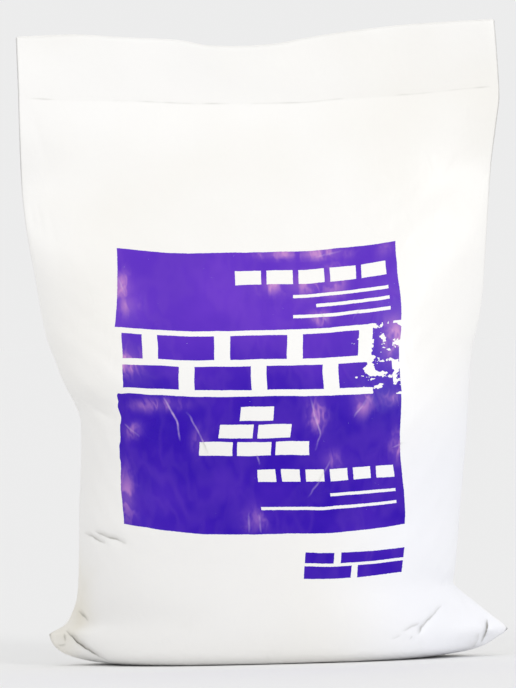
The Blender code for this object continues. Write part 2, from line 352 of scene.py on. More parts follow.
def relax(rings, column_lengths):
    """Lets the film settle to its own flat lengths, over the powder and on the floor."""
    random = np.random.default_rng(23)
    rows = len(rings)
    table = PowderTable()
    points = rings.copy()
    free = np.ones(points.shape[:2])
    free[[0, -1]] = 0.0
    k = np.arange(AROUND)
    column = np.where(k <= COLUMNS, k, AROUND - k)
    side = np.where(k <= COLUMNS, -1.0, 1.0)
    fold = (column == 0) | (column == COLUMNS)
    across_rest = 2 * HALF_FLAT / COLUMNS
    flat, own = FLAT_BODY / BODY_ROWS, column_lengths[column] / BODY_ROWS
    up_rest = np.broadcast_to(own + np.clip(flat - own, 0, None) * SLACK_KEPT, (rows, AROUND))
    u = np.where(k <= COLUMNS, k / COLUMNS * 2 - 1, 3 - k / COLUMNS * 2)[None, :] * HALF_FLAT
    v = np.arange(rows)[:, None] * flat
    waves = np.where(side > 0, first_wrinkles(u, v, random), 0.6 * first_wrinkles(u, v, random))
    shape = (1 - fold) * within(v, *WAVE_HEIGHTS)
    points[..., 1] += side * waves * shape * FIRST_WAVES
    diagonal = np.sqrt(across_rest**2 + up_rest[:-1] ** 2)
    beside, after = (k + 1) % AROUND, (k + 2) % AROUND
    for _ in range(RELAX_ROUNDS):
        for start in (0, 1):
            c = k[start::2]
            pull(points, free, np.s_[:, c], np.s_[:, beside[c]], across_rest, STIFF)
        for start in (0, 1):
            low = np.arange(start, rows - 1, 2)
            pull(points, free, np.s_[low], np.s_[low + 1], up_rest[low], STIFF)
            pull(points, free, np.ix_(low, k), np.ix_(low + 1, beside), diagonal[low], SOFT)
            pull(points, free, np.ix_(low, beside), np.ix_(low + 1, k), diagonal[low], SOFT)
        for start in range(4):
            low = np.arange(start, rows - 2, 4)
            pull(points, free, np.s_[low], np.s_[low + 2], STRAIGHT_UP * up_rest[low], SOFT, True)
            c = k[start::4]
            c = c[~fold[beside[c]]]
            pull(points, free, np.s_[:, c], np.s_[:, after[c]], STRAIGHT_ACROSS * across_rest, SOFT, True)
        keep_out(points, table, side, fold)
    return points


def keep_out(points, table, side, fold):
    """Keeps the film outside the powder and above the floor, and its side folds on the outline."""
    inner = points[1:-1]
    x, y, z = inner[..., 0], inner[..., 1], inner[..., 2]
    half = table.read(table.half, x, np.maximum(z, 0)) - GIVE
    least = np.maximum(half, APART)
    inside = least - side * (y - table.read(table.middle, x, np.maximum(z, 0)))
    near_foot = np.arange(len(inner))[:, None] < FLOOR_ROWS
    to_floor = (inside > z) & near_foot
    push = np.where((inside > 0) & ~to_floor & ~fold, inside, 0)
    inner[..., 2] = np.where(to_floor, 0, np.maximum(z, 0))
    inner[..., 1] += side * push
    inner[:, 0, 0] = -through(LEFT_REACH, inner[:, 0, 2] - head_lift(inner[:, 0, 0], inner[:, 0, 2]))
    edge = inner[:, COLUMNS]
    edge[:, 0] = through(RIGHT_REACH, edge[:, 2] - head_lift(edge[:, 0], edge[:, 2]))


# Half the weld's thickness, how far the lip's plies part, as a mean and two waves, and how much lower the
# front one is cut.
HALF_WELD = 0.00015
PARTING = (0.0014, 0.0009, 0.0005)
FRONT_CUT = 0.0010


def head_faces():
    """The weld band and the lip above it, as two faces that part towards the cut edge."""
    front, back = [], []
    share = np.arange(COLUMNS + 1) / COLUMNS * 2 - 1
    for row in range(1, WELD_ROWS + LIP_ROWS + 1):
        in_weld, in_lip = min(row / WELD_ROWS, 1), max(row - WELD_ROWS, 0) / LIP_ROWS
        level = WELD_LOW + (WELD_HIGH - WELD_LOW) * in_weld + in_lip * LIP_HEIGHT
        center, reach = outline_at(level)
        x = center + share * reach
        weld = WELD_LOW + (WELD_HIGH - WELD_LOW) * in_weld + through(WELD_LIFT, x)
        z = weld + in_lip * (through(TOP_EDGE, x) - weld)
        middle = middle_plane(x, level)
        mean, long_wave, short_wave = PARTING
        parting = in_lip * (mean + long_wave * np.sin(x * 47 + 1.0) + short_wave * np.sin(x * 121))
        half = HALF_WELD + parting * np.sqrt(np.clip(1 - np.abs(share) ** 8, 0, 1))
        half[[0, -1]] = 0.0
        front.append(np.stack([x, middle - half, z - in_lip * FRONT_CUT], axis=1))
        back.append(np.stack([x, middle + half, z], axis=1))
    return np.array(front), np.array(back)


# How often the foot is drawn smooth, and where that fades: up the bag, and towards the ears, as a share.
FOOT_ROUNDS = 8
FOOT_HEIGHTS = ((0.006, 0.014), (0.055, 0.085))
FOOT_SHARES = (0.62, 0.85)


def calm_foot(face):
    """Draws the film smooth between the ears, where the flare of the outline would leave a ridge."""
    share = np.abs(np.linspace(-1, 1, COLUMNS + 1))
    for _ in range(FOOT_ROUNDS):
        z = face[1:-1, :, 2]
        weight = within(z, *FOOT_HEIGHTS) * (1 - ease(share, *FOOT_SHARES))
        face[1:-1] += weight[..., None] * (face[:-2] + face[2:] - 2 * face[1:-1]) / 4
    return face


def stops(start, zones):
    """Places from the start through each zone, at that zone's own spacing."""
    places = [np.array([start])]
    for end, size in zones:
        begin = places[-1][-1]
        places.append(np.linspace(begin, end, max(round((end - begin) / size), 1) + 1)[1:])
    return np.concatenate(places)


def sheet_heights():
    """How far up the flat sheet each row of the fine mesh lies."""
    weld = FLAT_BODY + np.linspace(0, FLAT_WELD, FINE_WELD + 1)[1:]
    lip = FLAT_BODY + FLAT_WELD + np.linspace(0, FLAT_LIP, FINE_LIP + 1)[1:]
    return np.concatenate([stops(0.0, FINE_ROWS), weld, lip])


def sheet_columns():
    """How far from the middle of the flat sheet each column of the fine mesh lies."""
    return stops(-HALF_FLAT, FINE_COLUMNS)


def between_rows(grid, at):
    """Rows at these places among the grid's own rows, on smooth curves through them."""
    grid = np.concatenate([2 * grid[:1] - grid[1:2], grid, 2 * grid[-1:] - grid[-2:-1]])
    i = np.clip(at.astype(int), 0, len(grid) - 4)
    t = (at - i).reshape((-1,) + (1,) * (grid.ndim - 1))
    first, second, third, fourth = grid[i], grid[i + 1], grid[i + 2], grid[i + 3]
    bend = 2 * first - 5 * second + 4 * third - fourth
    twist = 3 * second - first - 3 * third + fourth
    return second + (third - first + (bend + twist * t) * t) * t / 2


def refined(face):
    """The face on the fine mesh's rows and columns."""
    v = sheet_heights()
    parts_end = [0, FLAT_BODY, FLAT_BODY + FLAT_WELD, v[-1]]
    rows = np.interp(v, parts_end, np.cumsum([0, BODY_ROWS, WELD_ROWS, LIP_ROWS]))
    columns = (sheet_columns() / HALF_FLAT + 1) / 2 * COLUMNS
    return np.swapaxes(between_rows(np.swapaxes(between_rows(face, rows), 0, 1), columns), 0, 1)


def outward(face, side):
    """Unit normals of one face, pointing away from the powder."""
    up = np.gradient(face, axis=0)
    along = np.gradient(face, axis=1)
    normal = np.cross(along, up)
    normal /= np.linalg.norm(normal, axis=-1, keepdims=True) + 1e-12
    return normal * -side


def as_seen(points):
    """Where the camera's sight lines through these points cross the bag's middle plane, as (x, z)."""
    sight = np.array([0, -math.cos(CAMERA_ELEVATION), math.sin(CAMERA_ELEVATION)])
    eye = np.array(CAMERA_AIM) + CAMERA_DISTANCE * sight
    share = (0 - eye[1]) / (points[..., 1] - eye[1])
    return (eye + (points - eye) * share[..., None])[..., [0, 2]]


# Creases on each face as they are seen, each as the places that it runs through, its depth and its width, in
# millimetres. The film stands up on the right of the way along it. A negative depth makes a ridge.
FRONT_CREASES = (
    ((-126, 179), (-115, 170), (-104, 164), 1.8, 4.6),
    ((-124, 168), (-112, 156), 0.5, 5.0),
    ((-109, 80), (-116, 84), (-123, 88), 1.4, 3.4),
    ((-95, 80), (-102, 83), (-108, 85), (-116, 89), 1.6, 3.9),
    ((-114, 4), (-122, 9), (-129, 15), (-137, 23), 3.4, 3.9),
    ((-109, 2), (-117, 6), 0.7, 3.0),
    ((-122, 29), (-128, 36), 1.5, 2.8),
    ((-138, 16), (-138, 21), 1.2, 2.0),
    ((-143, 13), (-137, 14), 0.9, 2.4),
    ((114, 34), (105, 24), (100, 19), (98, 15), 1.2, 3.0),
    ((102, 22), (100, 19), (98, 15), 1.4, 2.4),
    ((100, 22), (95, 20), (88, 17), 0.8, 2.6),
    ((94, 13), (92, 11), 0.8, 2.0),
    ((87, 15), (80, 12), 0.4, 2.6),
    ((144, 24), (144, 18), (143, 14), (140, 8), 3.2, 2.2),
    ((139, 16), (137, 10), (133, 4), 0.6, 3.8),
    ((121, 50), (134, 30), 0.8, 5.0),
    ((141, 376), (138, 357), (134, 340), (126, 317), 0.6, 7.0),
    ((-143, 336), (-151, 373), 0.8, 6.0),
    ((-152, 290), (-155, 308), 0.7, 4.2),
    ((-146, 288), (-149, 309), 0.7, 4.2),
    ((-137, 280), (-142, 305), 0.5, 4.4),
    ((-68, 177), (-63, 168), (-59, 160), (-58, 148), -1.4, 2.2),
    ((-53, 167), (-47, 157), (-42, 146), (-39, 138), -1.0, 2.8),
    ((30, 175), (36, 149), (32, 139), -0.8, 2.6),
    ((69, 174), (59, 161), -0.8, 2.8),
    ((-7, 138), (-5, 130), -0.6, 2.4),
    ((-13, 98), (-13, 85), -0.5, 2.2),
    ((-6, 97), (-5, 85), -0.6, 2.0),
    ((43, 133), (33, 116), (27, 108), -0.6, 2.6),
    ((-94, 160), (-85, 151), -0.8, 2.4),
    ((84, 140), (91, 143), -0.6, 2.2),
    ((33, 267), (53, 272), -0.5, 2.6),
    ((60, 227), (65, 233), -0.6, 2.2),
    ((38, 231), (42, 225), -0.6, 2.2),
    ((-97, 258), (-92, 246), -0.7, 2.4),
)
BACK_CREASES = (
    ((-92, 152), (-106, 159), (-118, 176), 1.6, 3.4),
    ((-104, 149), (-116, 160), 0.9, 3.0),
    ((96, 156), (110, 164), (121, 180), 1.4, 3.4),
    ((-96, 84), (-110, 87), (-122, 98), 1.1, 3.0),
    ((118, 108), (107, 98), (92, 93), 1.1, 3.0),
    ((-104, 8), (-119, 14), (-130, 26), 2.4, 3.0),
    ((108, 7), (122, 13), (134, 24), 2.4, 3.0),
    ((24, 44), (-30, 60), 0.6, 6.0),
    ((-22, 188), (-64, 204), 0.7, 6.0),
    ((78, 214), (40, 236), 0.7, 6.0),
    ((-134, 320), (-148, 366), 1.4, 5.0),
    ((126, 318), (146, 362), 1.4, 5.0),
    ((2, 296), (10, 330), 0.6, 4.0),
)


# Soft patches of painted highlight where the printed film catches the light, as place, reach across, reach
# up and strength. The places and the reaches are in millimetres.
SHEEN_PATCHES = (
    ((-93, 251), 5, 9, 1.0), ((-90, 239), 6, 6, 0.9), ((10, 271), 12, 3, 1.1), ((41, 271), 14, 4, 1.1),
    ((81, 272), 4, 4, 0.8), ((6, 250), 7, 5, 1.1), ((28, 250), 13, 6, 1.0), ((47, 252), 7, 9, 1.1),
    ((38, 227), 7, 4, 1.0), ((-71, 172), 15, 4, 0.6), ((-90, 155), 5, 5, 0.6), ((34, 163), 5, 9, 1.2),
    ((65, 170), 5, 8, 1.0), ((87, 141), 4, 8, 1.0), ((84, 173), 6, 4, 0.6), ((-94, 112), 5, 14, 0.9),
    ((-44, 147), 5, 8, 0.5), ((-8, 94), 7, 7, 0.4), ((43, 132), 5, 5, 0.6), ((-91, 201), 8, 8, 1.0),
    ((87, 213), 6, 11, 1.1),
)


def along_crease(seen, places):
    """How far along the crease each point lies, from 0 to 1, and its way there from the crease, in metres."""
    places = np.array(places) * 0.001
    lengths = np.linalg.norm(np.diff(places, axis=0), axis=1)
    share = np.zeros(seen.shape[:-1])
    away = np.full(seen.shape[:-1], np.inf)
    for begin, end, length, before in zip(places, places[1:], lengths, np.cumsum(lengths) - lengths):
        run = end - begin
        part = np.clip(((seen - begin) @ run) / (run @ run), 0, 1)
        gap = seen - (begin + part[..., None] * run)
        side = np.where(gap[..., 0] * run[1] - gap[..., 1] * run[0] > 0, 1.0, -1.0)
        distance = np.linalg.norm(gap, axis=-1)
        nearer = distance < np.abs(away)
        share = np.where(nearer, (before + part * length) / lengths.sum(), share)
        away = np.where(nearer, side * distance, away)
    return share, away


# A crease's section: how blunt its bottom is, how high the film stands up beside it and how far that reaches.
BLUNT = 0.15
STANDING = 0.55
STANDING_REACH = 2.6
STANDING_RISE = 1.6


def crease_depths(seen, creases):
    """How deep the creases press into a face whose points are seen at these places."""
    depth = np.zeros(seen.shape[:-1])
    for *places, deep, width in creases:
        share, gap = along_crease(seen, places)
        away = np.abs(gap) / (width * 0.001)
        ends = 0.2 + 0.8 * np.sin(np.pi * np.clip(share, 0.02, 0.98)) ** 0.7
        groove = np.exp(-away * away / (BLUNT + away))
        standing = STANDING * np.exp(-away / STANDING_REACH) * (1 - np.exp(-away * STANDING_RISE))
        raised = np.where(gap > 0, standing, 0)
        depth += deep * 0.001 * ends * (groove - raised)
    return depth


# A crease below the sharp width has a sharp line in its bottom, at its full in one of the full line's depth,
# both in millimetres. The line's shade reaches up the standing film by this share of the crease's width.
SHARP_WIDTH = 4.0
FULL_LINE = 2.8
SHADE_REACH = 0.9


def crease_lines(seen, creases):
    """For each cell's corners: the way to the nearest sharp crease, its strength and its shade's reach."""
    corners = [(0, 0), (0, 1), (1, 1), (1, 0)]
    rows, columns = seen.shape[0] - 1, seen.shape[1] - 1
    lines = np.zeros((rows, columns, 4, 3))
    best = np.zeros((rows, columns))
    for *places, deep, width in creases:
        if width >= SHARP_WIDTH:
            continue
        share, gap = along_crease(seen, places)
        strength = min(abs(deep) / FULL_LINE, 1.0) * np.sin(np.pi * share) ** 0.6
        reach = np.full(gap.shape, width * 0.001 * SHADE_REACH)
        cell = np.stack([np.stack([value[r : r + rows, c : c + columns] for r, c in corners], -1)
                         for value in (gap, strength, reach)], -1)
        score = cell[..., 1].mean(axis=-1) * np.exp(-np.abs(cell[..., 0].mean(axis=-1)) / 0.002)
        nearer = score > best
        lines[nearer] = cell[nearer]
        best = np.where(nearer, score, best)
    return lines


def sheen(seen):
    """How much painted highlight from the soft patches of light each point of the printed film has."""
    painted_sheen = np.zeros(seen.shape[:-1])
    for place, across, up, strength in SHEEN_PATCHES:
        gap = (seen * 1000 - place) / (across, up)
        painted_sheen = np.maximum(painted_sheen, strength * np.exp(-(gap ** 2).sum(axis=-1)))
    return painted_sheen


def scattered_creases(count, deepest, random):
    """Short fine creases all over, more of them towards the sides and the foot."""
    found = []
    for _ in range(count):
        edge = random.choice([-1.0, 1.0])
        x = edge * 150 * random.beta(2.6, 1.1)
        z = 20 + 350 * random.beta(1.1, 1.3)
        lean = random.normal(0.9, 0.5) * edge
        length = random.uniform(10, 34)
        dx, dz = length * math.sin(lean) / 2, length * math.cos(lean) / 2
        deep = random.uniform(0.3, 1.0) * deepest * random.choice([-1.0, 1.0])
        found.append(((x - dx, z - dz), (x + dx, z + dz), deep, random.uniform(2.6, 5.5)))
    return found


# The least room between the pressed faces, the share of the room that a crease may take up, and how many fine
# creases each face has and how deep they are at most, in millimetres.
LEAST_ROOM = 0.0003
CREASE_SHARE = 0.6
FRONT_FINE = (50, 0.16)
BACK_FINE = (80, 0.30)


def pressed(face, side, creases, room):
    """The face with its creases pressed in, as far as there is room. The side folds and the welds stay."""
    depth = np.minimum(crease_depths(as_seen(face), creases), CREASE_SHARE * room)
    depth *= loose() * ease(face[..., 2], 0.0, 0.006)
    return face - outward(face, side) * depth[..., None]


def loose():
    """Where the film can move: 0 on the welds and the side folds, 1 over most of the sheet."""
    v = sheet_heights()[:, None]
    across = np.abs(sheet_columns()) / HALF_FLAT
    return within(v, (0.0, 0.008), (FLAT_BODY - 0.02, FLAT_BODY)) * (1 - ease(across, 0.955, 1.0))


def film_faces():
    """The front and back of the whole sack, as fine grids of points."""
    front, lengths = laid_front()
    rings = ring_of(front, mirrored(front))
    taut = np.where(np.arange(AROUND) <= COLUMNS, FRONT_TAUT, BACK_TAUT)[:, None]
    rings = relax(rings, lengths) * (1 - taut) + rings * taut
    front, back = (calm_foot(face) for face in faces_of(rings))
    head_front, head_back = head_faces()
    front, back = refined(np.concatenate([front, head_front])), refined(np.concatenate([back, head_back]))
    random = np.random.default_rng(5)
    room = np.maximum(back[..., 1] - front[..., 1], 0) / 2
    front = pressed(front, -1.0, FRONT_CREASES + tuple(scattered_creases(*FRONT_FINE, random)), room)
    back = pressed(back, 1.0, BACK_CREASES + tuple(scattered_creases(*BACK_FINE, random)), room)
    across = np.abs(sheet_columns()) / HALF_FLAT
    least = LEAST_ROOM * ease(sheet_heights()[:, None], 0.0, 0.006) * (1 - ease(across, 0.985, 1.0))
    short = np.maximum(least - (back[..., 1] - front[..., 1]), 0) / 2
    front[..., 1] -= short
    back[..., 1] += short
    for face in (front, back):
        face[..., 2] = np.maximum(face[..., 2], 0)
    return front, back


# The film's thickness at the lip, how far inside the side folds the lip's lining ends, and how close points
# lie that are joined into one.
RIM = 0.0002
LINING_SHORT = 0.0006
SAME_PLACE = 0.00002


def add_object(name, data):
    added = bpy.data.objects.new(name, data)
    bpy.context.scene.collection.objects.link(added)
    return added


def add_mesh(name, points, polygons):
    mesh = bpy.data.meshes.new(name)
    mesh.from_pydata(points.tolist(), [], polygons)
    mesh.update()
    mesh.shade_smooth()
    return add_object(name, mesh)


def ring_quads(rings):
    """The quads between each ring of points and the next."""
    count, around = rings.shape[:2]
    k = np.arange(around)
    beside = (k + 1) % around
    base = np.arange(count - 1)[:, None] * around
    quads = np.stack([base + k, base + beside, base + around + beside, base + around + k], axis=-1)
    return quads.reshape(-1, 4).tolist()


def film_rings(front, back):
    """Rings of points from the foot up to the lip's cut edge, and down the lip's lining to the head weld."""
    toward = (front + back) / 2
    gap = np.linalg.norm(front - back, axis=-1, keepdims=True) / 2
    inset = np.minimum(RIM / np.maximum(gap, 1e-9), 0.9)
    lining = ring_of(*((face + (toward - face) * inset)[: -FINE_LIP - 1 : -1] for face in (front, back)))
    lining[..., 0] *= 1 - LINING_SHORT / HALF_FLAT
    return np.concatenate([ring_of(front, back), lining])


def floor_of_lip(rings):
    """The faces that close the last ring: a triangle at each end and quads between."""
    around = rings.shape[1]
    last, half = (len(rings) - 1) * around, around // 2
    ends = [[last, last + 1, last + around - 1], [last + half - 1, last + half, last + half + 1]]
    return ends + [
        [last + c, last + c + 1, last + around - c - 1, last + around - c] for c in range(1, half - 1)
    ]


def filled(count, values):
    """The values one after the other, then zeros up to the count."""
    row = np.zeros(count, np.float32)
    row[: values.size] = values.reshape(-1)
    return row


def add_sheet_map(mesh, spare):
    """The UV map: each corner's place on the flat sheet, in metres. The lip's floor has the spare corners."""
    heights = sheet_heights()
    heights = np.concatenate([heights, heights[: -FINE_LIP - 1 : -1]])
    u = sheet_columns()
    u = np.concatenate([u, 2 * HALF_FLAT - u[-2::-1]])
    row, column = (place.reshape(-1) for place in np.indices((len(heights) - 1, len(u) - 1)))
    corner_u = np.stack([u[column], u[column + 1], u[column + 1], u[column]], axis=1)
    corner_v = np.stack([heights[row], heights[row], heights[row + 1], heights[row + 1]], axis=1)
    places = np.stack([corner_u, corner_v], axis=-1).reshape(-1)
    places = np.concatenate([places, np.tile([0.0, heights[-1]], spare)])
    mesh.uv_layers.new(name="flat_sheet").data.foreach_set("uv", places.astype(np.float32))


def add_crease_lines(mesh, front, back):
    """What the material needs to draw the sharp lines, on each corner of each face."""
    on_front = crease_lines(as_seen(front), FRONT_CREASES)
    on_back = crease_lines(as_seen(back)[:, ::-1], BACK_CREASES)
    values = filled(3 * len(mesh.loops), np.concatenate([on_front, on_back], axis=1))
    mesh.attributes.new("crease_line", "FLOAT_VECTOR", "CORNER").data.foreach_set("vector", values)


def make_film(front, back):
    """One closed mesh of the film, with what its material is drawn from."""
    rings = film_rings(front, back)
    closing = floor_of_lip(rings)
    piece = add_mesh("film_sack_film", rings.reshape(-1, 3), ring_quads(rings) + closing)
    mesh = piece.data
    add_sheet_map(mesh, sum(len(face) for face in closing))
    add_crease_lines(mesh, front, back)
    painted_sheen = ring_of(sheen(as_seen(front)), np.zeros(back.shape[:2]))
    mesh.attributes.new("sheen", "FLOAT", "POINT").data.foreach_set("value", filled(len(mesh.vertices), painted_sheen))
    weld_foot(mesh, rings.shape[1])
    return piece


def weld_foot(mesh, around):
    """Joins the front and the back along the foot, where their first rows of points lie on each other."""
    model = bmesh.new()
    model.from_mesh(mesh)
    model.verts.ensure_lookup_table()
    bmesh.ops.remove_doubles(model, verts=model.verts[:around], dist=SAME_PLACE)
    model.to_mesh(mesh)
    model.free()


# The powder: how far inside the film it lies, half its least thickness, how much narrower it is and how much
# more so at its top, the points around it, the height from which it narrows and its rings' heights.
CEMENT_INSET = 0.0020
CEMENT_THINNEST = 0.0003
CEMENT_NARROWER = 0.0045
CEMENT_ROUNDED = 0.020
CEMENT_AROUND = 96
ROUNDED_FROM = 0.200
CEMENT_LEVELS = np.concatenate([[0.0022, 0.0045, 0.008, 0.013, 0.019], np.linspace(0.026, FILL_LEVEL, 64)])

# The rings under the powder and on its top, as shares of its first and last ring, and the top's swells.
UNDER_SHARES = (0.12, 0.4, 0.7)
TOP_SHARES = np.linspace(0.9, 0.1, 9)
TOP_RISE = 0.003
TOP_SWELLS = (0.004, 0.002)
TOP_GRAIN = 0.0003


def cement_sides():
    """Rings of points around the powder, just inside the film."""
    half_ring = CEMENT_AROUND // 2
    across = -np.cos(np.pi * np.arange(half_ring + 1) / half_ring)
    fronts, backs = [], []
    for z in CEMENT_LEVELS:
        narrower = CEMENT_NARROWER + CEMENT_ROUNDED * ease(z, ROUNDED_FROM, FILL_LEVEL)
        middle, reach = outline_at(z, narrower)
        x = middle + across * reach
        half = np.maximum(half_thickness(x, z, narrower) - CEMENT_INSET, CEMENT_THINNEST)
        half[[0, -1]] = 0
        height = z + head_lift(x, z)
        fronts.append(np.stack([x, middle_plane(x, z) - half, height], axis=1))
        backs.append(np.stack([x, middle_plane(x, z) + half, height], axis=1))
    return ring_of(np.array(fronts), np.array(backs))


def shrunk(ring, share):
    return ring.mean(axis=0) + (ring - ring.mean(axis=0)) * share


def make_cement():
    """The cement inside: a closed heap of powder just inside the film, with a soft uneven top."""
    random = np.random.default_rng(3)
    sides = cement_sides()
    top = []
    for share in TOP_SHARES:
        ring = shrunk(sides[-1], share)
        x, y = ring[:, 0], ring[:, 1]
        swell = TOP_SWELLS[0] * np.sin(x * 41 + 1) + TOP_SWELLS[1] * np.sin(x * 97 + y * 160)
        grain = random.normal(0, TOP_GRAIN, len(ring)) * (1 - share)
        ring[:, 2] += (swell + TOP_RISE) * (1 - share**4) + grain
        top.append(ring)
    under = [shrunk(sides[0], share) for share in UNDER_SHARES]
    rings = np.concatenate([np.array(under), sides, np.array(top)])
    last, middles = (len(rings) - 1) * CEMENT_AROUND, len(rings) * CEMENT_AROUND
    round_it = [(k, (k + 1) % CEMENT_AROUND) for k in range(CEMENT_AROUND)]
    caps = [[beside, k, middles] for k, beside in round_it]
    caps += [[last + k, last + beside, middles + 1] for k, beside in round_it]
    points = np.concatenate([rings.reshape(-1, 3), [rings[0].mean(axis=0), rings[-1].mean(axis=0)]])
    return add_mesh("cement_fill_powder", points, ring_quads(rings) + caps)


class Field:
    """A number worked out by a material's nodes, which adds, multiplies and compares like any other."""

    def __init__(self, socket):
        self.socket = socket

    def math(self, operation, *others):
        node = node_beside(self.socket, "Math")
        node.operation = operation
        for place, value in enumerate((self,) + others):
            feed(value, node.inputs[place])
        return Field(node.outputs[0])

    def __add__(self, other):
        return self.math("ADD", other)

    def __sub__(self, other):
        return self.math("SUBTRACT", other)

    def __mul__(self, other):
        return self.math("MULTIPLY", other)

    def __truediv__(self, other):
        return self.math("DIVIDE", other)

    def size(self):
        return self.math("ABSOLUTE")

    def either(self, other):
        return self.math("MAXIMUM", other)

    def both(self, other):
        return self.math("MINIMUM", other)

    def inverse(self):
        return (self * -1.0) + 1.0

    def step(self, low, high):
        """0 at low, 1 at high, and a smooth step between. High may be the lower one."""
        node = node_beside(self.socket, "MapRange")
        node.interpolation_type = "SMOOTHSTEP"
        feed(self, node.inputs["Value"])
        node.inputs["From Min"].default_value = min(low, high)
        node.inputs["From Max"].default_value = max(low, high)
        node.inputs["To Min"].default_value = 0.0 if low < high else 1.0
        node.inputs["To Max"].default_value = 1.0 if low < high else 0.0
        return Field(node.outputs["Result"])

    def between(self, low, high, soft):
        return self.step(low - soft, low + soft).both(self.step(high + soft, high - soft))


def node_beside(socket, kind):
    """A new shader node in the socket's own tree."""
    return socket.id_data.nodes.new("ShaderNode" + kind)


def feed(value, socket):
    """Links a field or an output to the socket, or sets a plain number or colour on it."""
    if isinstance(value, Field):
        value = value.socket
    if isinstance(value, bpy.types.NodeSocket):
        socket.id_data.links.new(value, socket)
    elif isinstance(value, tuple) and len(value) == 3 and socket.type == "RGBA":
        socket.default_value = value + (1.0,)
    else:
        socket.default_value = value


def linear(*screen):
    """A colour given in screen values from 0 to 255, as the renderer wants it."""
    return tuple(((c / 255 + 0.055) / 1.055) ** 2.4 if c > 10 else c / 255 / 12.92 for c in screen)


def new_material(name):
    material = bpy.data.materials.new(name)
    material.use_nodes = True
    return material, material.node_tree.nodes["Principled BSDF"]


def filled_node(socket, kind, **values):
    """A new node with these values on its inputs."""
    node = node_beside(socket, kind)
    for place, value in values.items():
        feed(value, node.inputs[place])
    return node


def mix(share, first, second):
    node = node_beside(share.socket, "Mix")
    node.data_type = "RGBA"
    for place, value in ((0, share), (6, first), (7, second)):
        feed(value, node.inputs[place])
    return node.outputs[2]


def noise(place, scale, detail=2.0, rough=0.5, stretch=(1, 1, 1), turn=(0, 0, 0)):
    mapping = filled_node(place, "Mapping", Vector=place, Scale=stretch, Rotation=turn)
    mapped = mapping.outputs[0]
    node = filled_node(place, "TexNoise", Vector=mapped, Scale=scale, Detail=detail, Roughness=rough)
    return Field(node.outputs["Fac"])


def bumped(height, distance, **before):
    node = filled_node(height.socket, "Bump", Strength=1.0, Distance=distance, Height=height, **before)
    return node.outputs["Normal"]


def parts_of(vector):
    node = node_beside(vector, "SeparateXYZ")
    feed(vector, node.inputs[0])
    return [Field(part) for part in node.outputs]


def object_place(shader):
    return node_beside(shader.inputs[0], "TexCoord").outputs["Object"]


def sheet_place(shader):
    """The place on the flat sheet, in metres: across from the middle of the front, and up from the foot."""
    node = node_beside(shader.inputs[0], "UVMap")
    node.uv_map = "flat_sheet"
    return node.outputs[0]


def attribute(place, name):
    node = node_beside(place, "Attribute")
    node.attribute_name = name
    return node


# The print on the flat sheet, in metres: two solid blocks with a bare strip between, and a mark below. At the
# waist it lies further left and is a little wider. Over the bulge its level lines drop towards the sides.
PRINT_MIDDLE = -0.0013
PRINT_HALF = 0.0942
UPPER_BLOCK = (0.2833, 0.3366)
LOWER_BLOCK = (0.1476, 0.2379)
WAIST_DRIFT = -0.0085
DRIFT_STARTS = (0.300, 0.212)
DRIFT_BACK = 0.0052
DRIFT_ENDS = (0.210, 0.130)
WAIST_WIDER = 0.0022
WIDER_FROM = (0.260, 0.225)
SIDE_SAG = 0.0075
SAG_FROM = (0.305, 0.236)
RISE = 0.0009

# In millimetres: the bare strip's ends, how much the mark's lines drop to the right, how soft the print's
# edges are and what a hundredth of its width is.
STRIP_LOW = LOWER_BLOCK[1] * 1000
STRIP_HIGH = UPPER_BLOCK[0] * 1000
MARK_LEAN = 5.4
EDGE_SOFT = 0.22
HUNDREDTH = 1.86

# Rows of like bricks or lines, as left edge, lower edge above the base, width, height, count and gap, in
# hundredths of the print's width across and millimetres up. Those in the blocks are bare, the others ink.
UPPER_ROWS = (
    (42, 31, 54, 9.5, 5, 2.0), (62, 21.5, 34, 2.2, 1, 0), (70, 14.5, 26, 2.2, 1, 0), (62, 7.5, 34, 2.2, 1, 0),
)
LOWER_ROWS = ((50, 34, 47, 8.0, 6, 2.0), (74, 24, 23, 2.0, 1, 0), (50, 15.5, 47, 2.0, 1, 0))
STACK_BASE = STRIP_LOW - 39
STACK_ROWS = ((30, 0, 38, 9.0, 3, 1.6), (36.6, 11.5, 24.8, 9.0, 2, 1.6), (43.2, 23.0, 11.6, 9.0, 1, 0))
COURSES = (
    (2.5, 4.5, 95, 16.5, 4, 5.5), (15.1, 25.5, 69.8, 16.5, 3, 5.5),
    (2.5, 25.5, 7.1, 16.5, 1, 0), (90.4, 25.5, 7.1, 16.5, 1, 0),
)
MARK_ROWS = ((65, 119.6, 35.5, 8.2, 2, 2.2), (65, 129.8, 10.0, 7.0, 1, 0), (77.5, 129.8, 23.0, 7.0, 1, 0))

INK = linear(48, 0, 174)
# Painted reflection: a paler ink for the upper block, where it faces the light from above; it also gives the
# cloudy tone.
INK_CLOUDY_AND_REFLECTED = linear(112, 58, 206)
# Painted highlight: the pinkish sheen where the crumpled ink catches the light.
INK_PAINTED_SHEEN = linear(196, 138, 206)
# Painted glint: the pale colour of the crease lines on the ink.
INK_GLINT = linear(226, 196, 238)
FILM_WHITE = linear(250, 249, 247)
FILM_CREAM = linear(240, 237, 229)
# Partly the cement showing through, partly painted shade: the film over the cement, greyer on the left.
FILM_OVER_CEMENT_AND_SHADE = linear(240, 239, 237)
# Painted light: lighter and cooler film low on the right.
FILM_PAINTED_LIGHT_COOL = linear(245, 246, 252)
# Dust at the foot, and the thin grey line along the head weld.
DUST_AND_WELD_GREY = linear(196, 194, 188)
# Painted shade in the creases' bottoms and beside them.
CREASE_PAINTED_SHADE = linear(122, 119, 108)
# A darker, yellower tint on the left ear.
LEFT_EAR_TINT = linear(224, 218, 202)
POWDER_LIGHT = linear(160, 158, 151)
POWDER_DARK = linear(128, 127, 122)
POWDER_GRAIN = linear(98, 97, 94)


